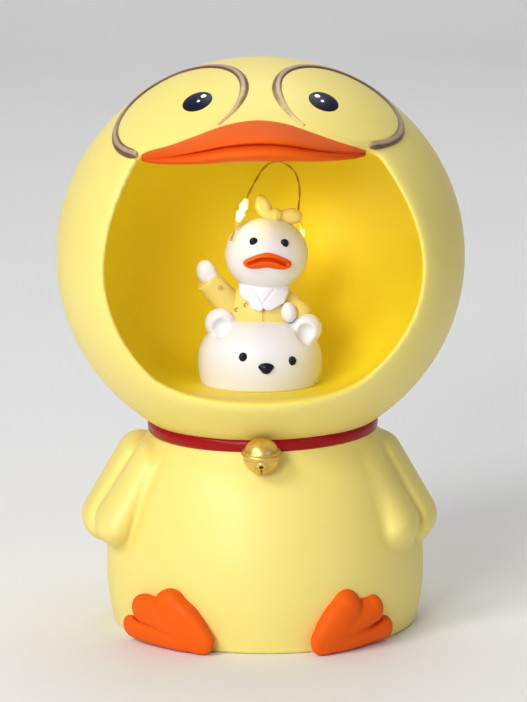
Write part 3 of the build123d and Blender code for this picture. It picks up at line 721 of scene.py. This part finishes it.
def collar_field(p):
    """A painted band round the neck, slightly uneven as if brushed by hand."""
    angle = np.arctan2(p[1], p[0])
    wobble = 0.16 * np.sin(5 * angle + 0.7) + 0.12 * np.sin(11 * angle)
    x, y, z = spin(p, (0.8, 0, JOINT_Z + 0.5), (0, -1.0, 0))
    away = np.sqrt(x * x + y * y) - 40.8 - 0.25 * wobble
    high = (z - 0.6 * wobble) / (2.6 + 0.5 * wobble)
    q = (np.abs(away / 1.9) ** 2.4 + np.abs(high) ** 2.4) ** (1 / 2.4)
    return (q - 1) * 1.7


BELL_AT, BELL_R = (0.3, -49.0, 71.4), 6.6


def bell_field(p):
    """A round bell with a seam, a small clapper boss with its hole, and a slit below."""
    x, y, z = spin(p, BELL_AT, (8, 0, 0))
    away = np.sqrt(x * x + y * y + z * z)
    bell = away - BELL_R
    seam = np.sqrt((np.sqrt(x * x + y * y) - BELL_R) ** 2 + (z - 1.2) ** 2) - 0.62
    bell = smin(bell, seam, 0.9)
    hole = smax(np.sqrt(x * x + (z + 2.0) ** 2) - 0.7, y + 4.5, 0.3)
    slit = smax(smax(np.abs(x) - 0.22, np.abs(z + 5.0) - 2.0, 0.3), -away + BELL_R - 0.5, 0.3)
    bump = np.sqrt(x * x + (y + BELL_R) ** 2 + (z + 2.0) ** 2) - 1.5
    bell = smin(bell, smax(bump, away - BELL_R - 0.25, 0.3), 0.6)
    return smax(bell, -smin(hole, slit, 0.3), 0.4)


def build_body(mats):
    body = solid("duck_body", body_field, (-69, -61, -2), (69, 61, 75), 1.15, crease=3.0)
    finish(body, mats["yellow"], "yellow_resin", "body_casting", "wing_left", "wing_right")
    for side, word in ((-1, "left"), (1, "right")):
        low, high = sorted((side * 12.0, side * 57.0))
        foot = solid(f"webbed_foot_{word}", foot_field(side), (low, -67, -1), (high, -30, 26), 0.5,
                     crease=1.8)
        finish(foot, mats["orange"], "orange_paint", f"foot_{word}")
    collar = solid("collar", collar_field, (-44, -44, 69), (44, 44, 78), 0.6, crease=1.0)
    finish(collar, mats["red"], "red_paint", "collar_band")
    bell = solid("round_bell", bell_field, (-8.5, -58, 62), (9, -41, 80), 0.28, crease=0.9)
    finish(bell, mats["gold"], "gold_paint", "bell")


# ---- figurine --------------------------------------------------------------------------------------
BEAR_AT, BEAR_R, BEAR_WAIST = (-0.2, -16.5), (22.6, 19.0, 24.7), 8.0
CHICK_AT, CHICK_R = (2.2, -14.0, HEAD_Z + 2.7), (15.1, 14.2, 13.6)


def bear_dome(p):
    """The bear's head without its ears: a dome with its widest line at BEAR_WAIST."""
    x, y, z = (p[0] - BEAR_AT[0]) / BEAR_R[0], (p[1] - BEAR_AT[1]) / BEAR_R[1], p[2] - FLOOR_Z
    above = np.clip((z - BEAR_WAIST) / (BEAR_R[2] - BEAR_WAIST), 0, None)
    below = np.clip((BEAR_WAIST - z) / BEAR_WAIST, 0, None)
    ring = (x * x + y * y) ** 1.2 + above**2.3 + 0.13 * below**2
    dome = (np.maximum(ring, 1e-9) ** (1 / 2.35) - 1) * 18.0
    return smax(dome, -z - 0.3, 1.2)


def bear_field(p):
    dome = bear_dome(p)
    for x, y, z, side in ((-14.6, -20.0, 22.6, -1), (16.7, -20.6, 20.8, 1)):
        at = (x, y, FLOOR_Z + z)
        ear = egg(p, at, (5.7, 4.3, 5.6), (0, -12 * side, 10 * side))
        dish_at = (at[0] - side * 0.2, at[1] - 5.1, at[2] - 0.8)
        dish = egg(p, dish_at, (3.5, 3.3, 3.9), (0, -12 * side, 10 * side))
        ear = smax(ear, -dish, 1.1)
        dome = smin(smax(dome, -dish, 1.0), ear, 1.5)
    return dome


def front_point(field, x, z):
    """The y where a ray from the front first meets a field."""
    ys = np.arange(-60.0, 0, 0.05)
    values = field((np.full_like(ys, x), ys, np.full_like(ys, z)))
    return float(ys[np.argmax(values < 0)])


def build_bear(mats):
    bear = solid("bear", bear_field, (-25, -38, 90), (25, 5, 121), 0.5, crease=1.6)
    finish(bear, mats["white"], "white_paint", "bear_base", "bear_ear_left", "bear_ear_right")
    eyes = [(x, front_point(bear_dome, x, FLOOR_Z + z), FLOOR_Z + z)
            for x, z in ((-6.3, 13.0), (11.3, 11.3))]

    def eye_field(p):
        return np.minimum.reduce([egg(p, at, (1.55, 0.9, 1.7)) for at in eyes])

    made = solid("bear_eye_dots", eye_field, (-9, -38, 100), (14, -30, 108), 0.15, crease=0.5)
    finish(made, mats["black"], "black_paint", "bear_eyes")
    x, z = 2.0, FLOOR_Z + 9.2
    y = front_point(bear_dome, x, z)

    def nose_field(p):
        nose = egg(p, (x, y, z + 0.35), (2.85, 1.3, 1.5))
        return smin(nose, egg(p, (x, y, z - 1.1), (1.4, 1.1, 1.1)), 1.6)

    nose = solid("bear_snout", nose_field, (-2, y - 3, z - 3), (6, y + 3, z + 3), 0.15, crease=0.5)
    finish(nose, mats["black"], "black_paint", "bear_nose")


def torso_field(p):
    torso = egg(p, (0.8, -14.5, HEAD_Z - 20.0), (13.2, 9.5, 14.5))
    front = ease(-p[1], 18.0, 20.0)
    seam = (1 - ease(np.abs(p[0] - 1.2), 0.15, 0.55)) * front
    return smax(torso + 0.45 * seam, FLOOR_Z + 15.0 - p[2], 1.0)


def chick_head(p):
    return egg(p, CHICK_AT, CHICK_R)


# the shirt collar's outline from the front, and its fold lines, as x and height over the head's centre
SHIRT = [(-8.0, -7.5), (-7.6, -10.6), (-6.2, -12.4), (-4.4, -13.2), (-3.2, -15.6), (-0.2, -16.6),
         (1.2, -15.9), (3.8, -16.3), (6.6, -14.7), (8.6, -13.9), (10.2, -10.6), (10.4, -7.5)]
SHIRT_FOLDS = [((-2.8, -9.0), (1.1, -13.4)), ((4.8, -9.0), (1.1, -13.4)), ((1.1, -13.4), (1.2, -16.2))]


def shirt_field(p):
    """A flat shirt collar with two flaps, wrapped over the jacket."""
    skin = egg(p, (0.9, -14.5, HEAD_Z - 18.6), (13.6, 10.4, 14.8))
    skin = np.abs(skin) - 0.75
    x, z = p[0], p[2] - HEAD_Z
    shirt = smax(skin, outline_2d(x, z, SHIRT), 0.7)
    front = (p[1] < -14).astype(float)
    flat = (x, np.zeros_like(z), z)
    lines = [limb(flat, (a[0], 0, a[1]), (b[0], 0, b[1]), 0.3, 0.3) for a, b in SHIRT_FOLDS]
    fold = np.minimum.reduce(lines)
    shirt = shirt + 0.32 * front * (1 - ease(fold, -0.3, 0.45))
    return smax(shirt, p[1] + 6.0, 1.0)


def sleeve_raised(p):
    """The raised arm's sleeve, cut off flat at its cuff."""
    shoulder, cuff = (-9.5, -14.5, HEAD_Z - 18.0), (-18.6, -16.8, HEAD_Z - 7.2)
    arm = limb(p, shoulder, cuff, 5.2, 4.7)
    axis = unit(np.subtract(cuff, shoulder))
    along = sum((p[i] - cuff[i]) * axis[i] for i in range(3))
    return smax(arm, along - 1.6, 0.8)


def sleeve_lowered(p):
    return limb(p, (9.0, -14.5, HEAD_Z - 14.0), (14.4, -17.6, HEAD_Z - 18.4), 4.2, 4.2)


def hand_raised(p):
    hand = egg(p, (-19.7, -17.0, HEAD_Z - 3.4), (3.5, 3.4, 4.5), (0, -14, 0))
    palm = egg(p, (-17.4, -17.4, HEAD_Z - 5.8), (2.4, 2.8, 2.3), (0, 20, 0))
    hand = smin(hand, palm, 1.4)
    for x in (-19.6, -17.2):
        groove = limb(p, (x, -21.0, HEAD_Z - 4.0), (x + 0.5, -21.0, HEAD_Z - 6.4), 0.45, 0.3)
        hand = smax(hand, -groove, 0.6)
    return hand


def hand_lowered(p):
    hand = egg(p, (10.3, -22.6, HEAD_Z - 17.2), (2.8, 2.9, 3.7), (0, -8, 0))
    for x in (9.9, 11.5):
        groove = limb(p, (x, -25.7, HEAD_Z - 20.4), (x + 0.1, -25.7, HEAD_Z - 17.8), 0.45, 0.3)
        hand = smax(hand, -groove, 0.5)
    return hand


# the chick's bill from the front: half width fractions, then heights over the bill's middle
CHICK_BILL_HALF = 8.8
CHICK_BILL_TOP = [(0.0, 3.2), (0.35, 2.5), (0.7, 1.2), (1.0, 0.3)]
CHICK_BILL_BOTTOM = [(0.0, -2.6), (0.35, -3.0), (0.7, -3.1), (1.0, -2.7)]
CHICK_MOUTH = [(0.0, 0.9), (0.35, 0.5), (0.7, -0.7), (1.0, -1.3)]


def chick_bill_field(p):
    """The chick's bill: a flat oval pout with a dark mouth line pressed into it."""
    x, y, z = spin(p, (CHICK_AT[0] + 0.3, CHICK_AT[1] - 12.6, CHICK_AT[2] - 0.2), (0, 1.5, 0))
    out = np.abs(x) / CHICK_BILL_HALF
    side = np.clip(out, 0, 1.0)
    curves = (CHICK_BILL_TOP, CHICK_BILL_BOTTOM, CHICK_MOUTH)
    top, bottom, mouth = (smooth_curve(rows, 1)(side) for rows in curves)
    half, middle = (top - bottom) / 2, (top + bottom) / 2
    q = np.sqrt(((z - middle) / half) ** 2 + (y / 4.4) ** 2 + out**7)
    bill = (q - 1) * 2.0
    lips = np.abs(z - mouth)
    return bill + 0.75 * (1 - ease(lips, 0.1, 0.95)) * ease(-y, 0.5, 2.0) * (1 - ease(side, 0.72, 0.9))


def bow_field(p):
    z = HEAD_Z + 17.2
    knot = egg(p, (5.7, -15.6, z + 0.2), (2.3, 2.4, 2.4))
    left = egg(p, (1.0, -14.5, z + 3.0), (2.9, 2.2, 4.6), (0, -24, 0))
    right = egg(p, (11.4, -14.6, z - 0.5), (3.9, 2.4, 3.0), (0, 4, 0))
    neck = limb(p, (3.2, -14.5, z), (8.6, -14.5, z - 0.2), 1.8, 1.9)
    dent_left = limb(p, (2.4, -17.9, z + 0.6), (0.5, -17.6, z + 4.6), 0.9, 1.2)
    dent_right = limb(p, (8.4, -18.2, z - 0.2), (12.2, -18.3, z - 0.5), 0.9, 1.3)
    lobes = smin(smax(left, -dent_left, 1.0), smax(right, -dent_right, 1.0), 0.6)
    bow = smin(smin(lobes, neck, 0.8), knot, 0.6)
    for dx in (-0.9, 0.7):
        pleat = limb(p, (5.7 + dx, -18.1, z - 1.6), (5.7 + 1.4 * dx, -18.1, z + 2.0), 0.35, 0.35)
        bow = smax(bow, -pleat, 0.5)
    return bow


def buttons_field(p):
    """Three moulded buttons: two on the jacket and one on the raised cuff."""
    spots = ((-8.7, HEAD_Z - 16.6, torso_field), (-5.3, HEAD_Z - 14.6, torso_field),
             (-14.6, HEAD_Z - 8.6, sleeve_raised))
    made = []
    for x, z, under in spots:
        y = front_point(under, x, z) - 0.15
        ring = np.sqrt((np.sqrt((p[0] - x) ** 2 + (p[2] - z) ** 2) - 0.7) ** 2 + (p[1] - y) ** 2) - 0.24
        made.append(ring)
    return np.minimum.reduce(made)


def build_chick(mats):
    pieces = [
        ("chick_jacket", torso_field, (-14, -26, 105), (16, -3, 133), 0.4, "jacket", "yellow_resin",
         "chick_torso"),
        ("chick_ball_head", chick_head, (-14, -29.5, 124), (18.5, 1.5, 153.5), 0.45, "white", "white_paint",
         "chick_head"),
        ("chick_shirt", shirt_field, (-13, -27, 118), (15, -4, 131), 0.28, "white", "white_paint",
         "chick_shirt_collar"),
        ("chick_beak", chick_bill_field, (-8, -33, 133), (13, -20, 144), 0.25, "orange", "orange_paint",
         "chick_bill"),
        ("chick_ribbon", bow_field, (-5, -20, 146), (18, -10, 163), 0.3, "jacket", "yellow_resin",
         "chick_bow"),
        ("chick_arm_up", sleeve_raised, (-26, -24, 111), (-2, -7, 134), 0.4, "jacket", "yellow_resin",
         "chick_sleeve_raised"),
        ("chick_arm_down", sleeve_lowered, (3, -23, 111), (20, -8, 128), 0.4, "jacket", "yellow_resin",
         "chick_sleeve_lowered"),
        ("chick_mitten_up", hand_raised, (-25, -22, 126), (-12, -12, 139), 0.3, "white", "white_paint",
         "chick_hand_raised"),
        ("chick_mitten_down", hand_lowered, (6, -27, 113), (15, -18, 124), 0.3, "white", "white_paint",
         "chick_hand_lowered"),
    ]
    for name, field, low, high, step, paint, slot, node in pieces:
        made = solid(name, field, low, high, step, crease=1.1)
        finish(made, mats[paint], slot, node)
    studs = solid("chick_buttons", buttons_field, (-17, -27, 116), (13, -17, 129), 0.2, crease=0.5)
    finish(studs, mats["button"], "brown_paint")
    eyes = []
    for dx, dz in ((-4.7, 6.5), (6.4, 5.8)):
        x, z = CHICK_AT[0] + dx, CHICK_AT[2] + dz
        eyes.append((x, front_point(chick_head, x, z), z))

    def eye_field(p):
        return np.minimum.reduce([egg(p, at, (1.55, 0.8, 1.6)) for at in eyes])

    made = solid("chick_eye_dots", eye_field, (-5, -29, 141), (11, -22, 148), 0.15, crease=0.5)
    finish(made, mats["black"], "black_paint", "chick_eyes")


# ---- lamp ------------------------------------------------------------------------------------------
WIRE_ROUTE = [
    (13.0, 33.2, HEAD_Z), (13.3, 27.0, HEAD_Z + 1.0), (15.8, 20.0, HEAD_Z + 5.5),
    (13.6, 11.0, HEAD_Z + 13.0), (14.9, 6.5, HEAD_Z + 24.0), (12.0, 2.5, HEAD_Z + 32.5),
    (3.5, -5.0, HEAD_Z + 36.5), (-3.4, -17.0, HEAD_Z + 28.0), (-8.3, -21.3, HEAD_Z + 15.5),
    (-10.7, -22.5, HEAD_Z + 8.9),
]
STRAND_R = 0.22        # radius of one enamelled strand
TWIST_PITCH = 12.0     # length of one full twist of the pair
AROUND = 10            # sides of a strand's section
LAMP_DROPS = {"inner": (14.8, 22.9, HEAD_Z + 3.6), "outer": (-6.7, -19.9, HEAD_Z + 19.6)}


def route_points():
    """The wire's centre line, read from its NURBS spline, in millimetres."""
    curve = bpy.data.curves.new("route", "CURVE")
    curve.dimensions = "3D"
    spline = curve.splines.new("NURBS")
    spline.points.add(len(WIRE_ROUTE) - 1)
    for point, at in zip(spline.points, WIRE_ROUTE):
        point.co = (at[0] * MM, at[1] * MM, at[2] * MM, 1.0)
    spline.order_u = 3
    spline.use_endpoint_u = True
    spline.resolution_u = 48
    holder = bpy.data.objects.new("route", curve)
    bpy.context.scene.collection.objects.link(holder)
    mesh = bpy.data.meshes.new_from_object(holder)
    points = np.array([v.co for v in mesh.vertices]) / MM
    bpy.data.objects.remove(holder)
    bpy.data.curves.remove(curve)
    bpy.data.meshes.remove(mesh)
    return points


def carried_frames(points):
    """Two side directions at each point, carried along without turning."""
    tangents = np.gradient(points, axis=0)
    tangents /= np.linalg.norm(tangents, axis=1)[:, None]
    side = unit(np.cross(tangents[0], (0.3, 0.2, 1.0)))
    sides = []
    for tangent in tangents:
        side = unit(side - tangent * side.dot(tangent))
        sides.append(side)
    sides = np.array(sides)
    return sides, np.cross(tangents, sides)


def strand_mesh(axis, side, other, start):
    """Points and faces of one round strand along an axis; its points are numbered from `start`."""
    angles = [2 * math.pi * j / AROUND for j in range(AROUND)]
    points = [axis[i] + STRAND_R * (math.cos(a) * side[i] + math.sin(a) * other[i])
              for i in range(len(axis)) for a in angles]
    faces = []
    for i in range(len(axis) - 1):
        for j in range(AROUND):
            a, b = start + i * AROUND + j, start + i * AROUND + (j + 1) % AROUND
            faces.append((a, b, b + AROUND, a + AROUND))
    faces.append(tuple(start + j for j in range(AROUND))[::-1])
    faces.append(tuple(start + (len(axis) - 1) * AROUND + j for j in range(AROUND)))
    return points, faces


def drop_field(at, ahead, sideways):
    """The clear drop over a lamp: two lobes along the wire."""
    def field(p):
        lobes = []
        for way in (-1, 1):
            near = at + way * (ahead * 1.5 + sideways * 0.1)
            lobes.append(limb(p, near, near + way * ahead * 2.0, 1.65, 1.05))
        return smin(lobes[0], lobes[1], 0.8)
    return field


def build_wire(mats):
    """Two enamelled strands twisted together, with a lamp drop near each end."""
    path = route_points()
    side, other = carried_frames(path)
    run = np.concatenate([[0], np.cumsum(np.linalg.norm(np.diff(path, axis=0), axis=1))])
    points, faces = [], []
    for strand in (0, 1):
        turn = 2 * math.pi * run / TWIST_PITCH + strand * math.pi
        axis = path + STRAND_R * (np.cos(turn)[:, None] * side + np.sin(turn)[:, None] * other)
        more_points, more_faces = strand_mesh(axis, side, other, len(points))
        points += more_points
        faces += more_faces
    wire = mesh_object("twisted_wire", np.array(points) * MM, faces)
    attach(wire, "duck")
    finish(wire, mats["copper"], "copper_wire", "lamp_wire")
    for word, place in LAMP_DROPS.items():
        i = int(np.argmin(np.linalg.norm(path - np.array(place), axis=1)))
        field = drop_field(path[i], unit(path[i + 4] - path[i - 4]), side[i])
        bead = solid(f"lamp_drop_{word}", field, path[i] - 5.5, path[i] + 5.5, 0.25, crease=0.6)
        finish(bead, mats["glow"], "lamp_glow", f"lamp_bead_{word}")


def paint_carried_nodes(mats):
    """CAD nodes whose shape is kept get a finish of their own."""
    kept = {
        "battery_case": "plastic", "battery_cover": "plastic", "cover_screw": "steel", "coin_cells": "steel",
        "contact_negative": "brass", "contact_positive": "brass", "switch_slider": "switch",
        "switch_base": "switch", "adhesive_pad": "foam", "lamp_lead": "copper", "wire_grommet": "silicone",
        "base_stopper": "rubber",
    }
    for node, paint in kept.items():
        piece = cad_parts[node]
        for held in piece.material_slots:
            held.material = mats[paint]


# ---- stage -----------------------------------------------------------------------------------------
CAMERA_FAR = 1.300       # metres from the head's centre
CAMERA_UP = 9.5          # degrees above it
VIEW_HEIGHT = 0.25806    # metres that the picture spans, from top to bottom, at the head's centre
AIM_BELOW = 0.03529      # metres below the head's centre, at right angles to the view
AIM_ASIDE = 0.00110      # metres to the viewer's right of it


def build_camera():
    data = bpy.data.cameras.new("camera")
    data.sensor_width = 36.0
    data.lens = data.sensor_width * CAMERA_FAR / VIEW_HEIGHT
    data.clip_start = 0.05
    camera = bpy.data.objects.new("camera", data)
    bpy.context.scene.collection.objects.link(camera)
    up = math.radians(CAMERA_UP)
    camera.location = (0, -CAMERA_FAR * math.cos(up), HEAD_Z * MM + CAMERA_FAR * math.sin(up))
    down = up + math.atan(AIM_BELOW / CAMERA_FAR)
    aside = math.atan(AIM_ASIDE / CAMERA_FAR)
    camera.rotation_euler = (math.pi / 2 - down, 0, -aside)
    bpy.context.scene.camera = camera


def build_stage():
    """A pale floor that curves up into a backdrop, in metres."""
    reach, bend_from, bend = 4.0, 1.9, 0.6
    outline = [(-reach, 0.0), (bend_from, 0.0)]
    for a in np.linspace(0.1, math.pi / 2, 14):
        outline.append((bend_from + bend * math.sin(a), bend - bend * math.cos(a)))
    outline.append((bend_from + bend, 3.2))
    points = [(x, y, z) for y, z in outline for x in (-reach, reach)]
    faces = [(2 * i, 2 * i + 1, 2 * i + 3, 2 * i + 2) for i in range(len(outline) - 1)]
    backdrop = mesh_object("backdrop", points, faces)
    paint = Paint("backdrop")
    shade = paint.mix(paint.span(paint.noise(3.0), 0.3, 0.7), (0.86, 0.855, 0.845), (0.83, 0.825, 0.815))
    paint.set(Base_Color=shade, Roughness=0.7)
    backdrop.data.materials.append(paint.material)


def light(name, kind, at, aim, energy, size, colour):
    """An AREA disk that faces `aim`, or a POINT lamp."""
    data = bpy.data.lights.new(name, kind)
    data.energy = energy
    data.color = colour
    if kind == "AREA":
        data.shape = "DISK"
        data.size = size
    else:
        data.shadow_soft_size = size
    lamp = bpy.data.objects.new(name, data)
    lamp.location = at
    if aim is not None:
        way = Vector(aim) - Vector(at)
        lamp.rotation_euler = way.to_track_quat("-Z", "Y").to_euler()
    bpy.context.scene.collection.objects.link(lamp)


def build_lights():
    middle = (0, 0, 0.11)
    light("key", "AREA", (-0.80, -0.80, 0.95), middle, 9.0, 0.55, (1.0, 0.98, 0.96))
    light("fill", "AREA", (0.95, -0.95, 0.35), middle, 1.2, 0.9, (1.0, 0.97, 0.92))
    light("front", "AREA", (-0.50, -1.30, 0.58), (0, 0, 0.13), 8.0, 0.45, (1.0, 0.99, 0.97))
    light("top", "AREA", (0.1, 0.35, 1.2), middle, 3.5, 0.8, (1.0, 1.0, 1.0))
    light("backdrop_light", "AREA", (0, 1.1, 1.7), (0, 2.4, 0.5), 11.0, 1.4, (1.0, 1.0, 1.0))
    warm = (1.0, 0.78, 0.30)
    light("lamp_inner", "POINT", (0.0150, 0.0215, 0.1390), None, 0.0085, 0.004, warm)
    light("lamp_outer", "POINT", (-0.0085, -0.0250, 0.1555), None, 0.005, 0.002, warm)
    world = bpy.data.worlds.new("world")
    world.use_nodes = True
    world.node_tree.nodes["Background"].inputs["Color"].default_value = (0.91, 0.93, 1.0, 1.0)
    world.node_tree.nodes["Background"].inputs["Strength"].default_value = 0.30
    bpy.context.scene.world = world
    bpy.context.scene.view_settings.view_transform = "Standard"


build_camera()
materials = make_materials()
build_wire(materials)
build_head(materials)
build_bill(materials)
build_body(materials)
build_bear(materials)
build_chick(materials)
paint_carried_nodes(materials)
build_stage()
build_lights()
